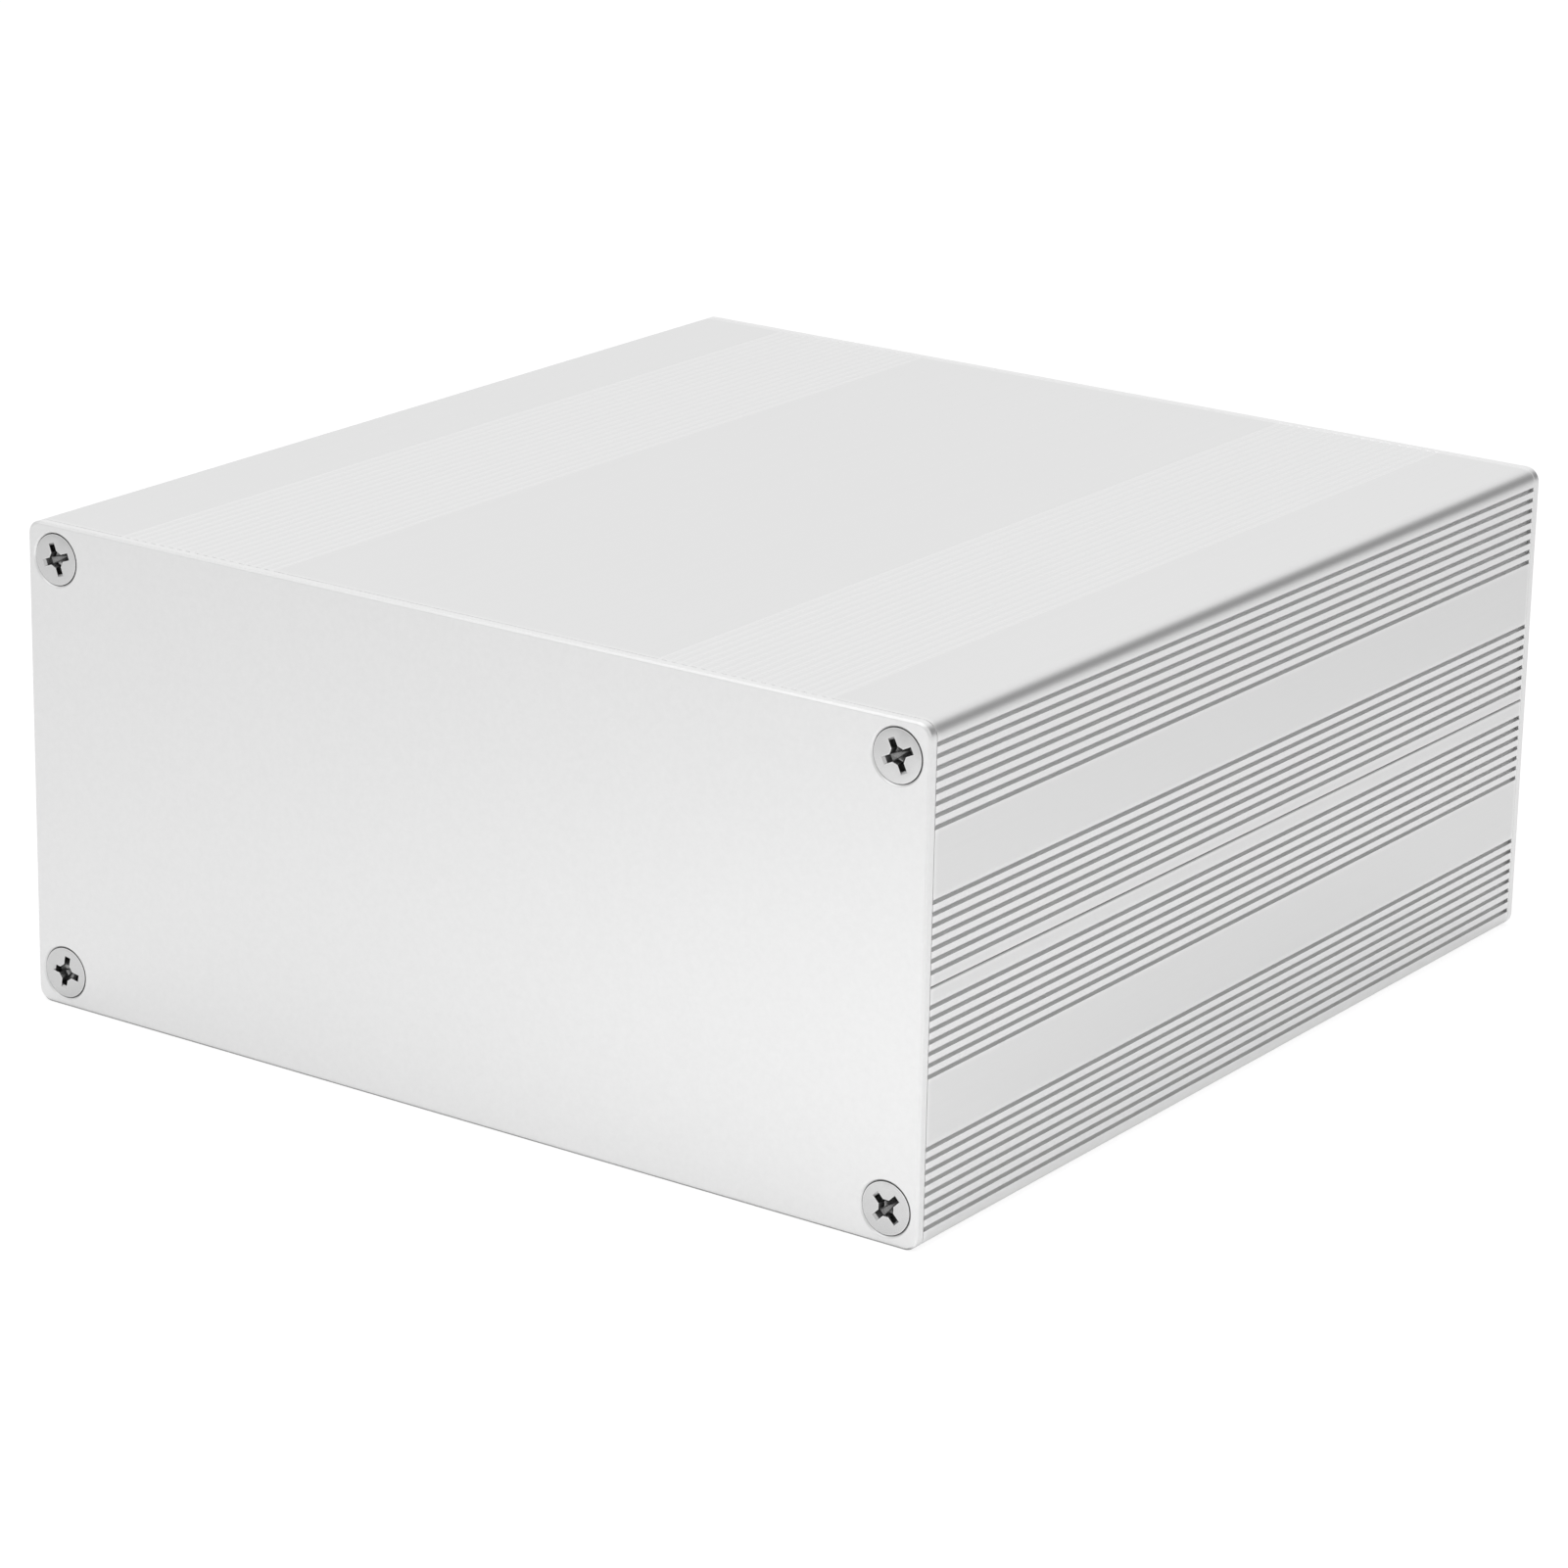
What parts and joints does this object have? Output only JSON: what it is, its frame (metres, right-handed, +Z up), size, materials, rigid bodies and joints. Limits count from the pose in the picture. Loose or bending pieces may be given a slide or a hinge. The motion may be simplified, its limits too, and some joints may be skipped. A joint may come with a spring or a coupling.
{
  "type": "amplifier enclosure",
  "caption": "Split extruded aluminium case with grooved side walls, interlocking half shells, blank end plates and countersunk corner screws.",
  "frame": {"origin": "centre of the footprint, on the bottom face the case stands on", "axes": "+Z up; +Y along the extrusion from the front plate to the rear plate; +X to the right seen from the front"},
  "size_m": [0.145, 0.153, 0.068],
  "materials": {
    "shell_anodised": "clear anodised extrusion, satin",
    "plate_anodised": "clear anodised sheet with a fine blasted grain",
    "screw_plated": "bright plated steel"
  },
  "bodies": {
    "root": {"upper_shell": "shell_anodised", "lower_shell": "shell_anodised", "front_plate": "plate_anodised", "rear_plate": "plate_anodised", "front_screw_upper_left": "screw_plated", "front_screw_upper_right": "screw_plated", "front_screw_lower_left": "screw_plated", "front_screw_lower_right": "screw_plated", "rear_screw_upper_left": "screw_plated", "rear_screw_upper_right": "screw_plated", "rear_screw_lower_left": "screw_plated", "rear_screw_lower_right": "screw_plated"}
  },
  "joints": []
}
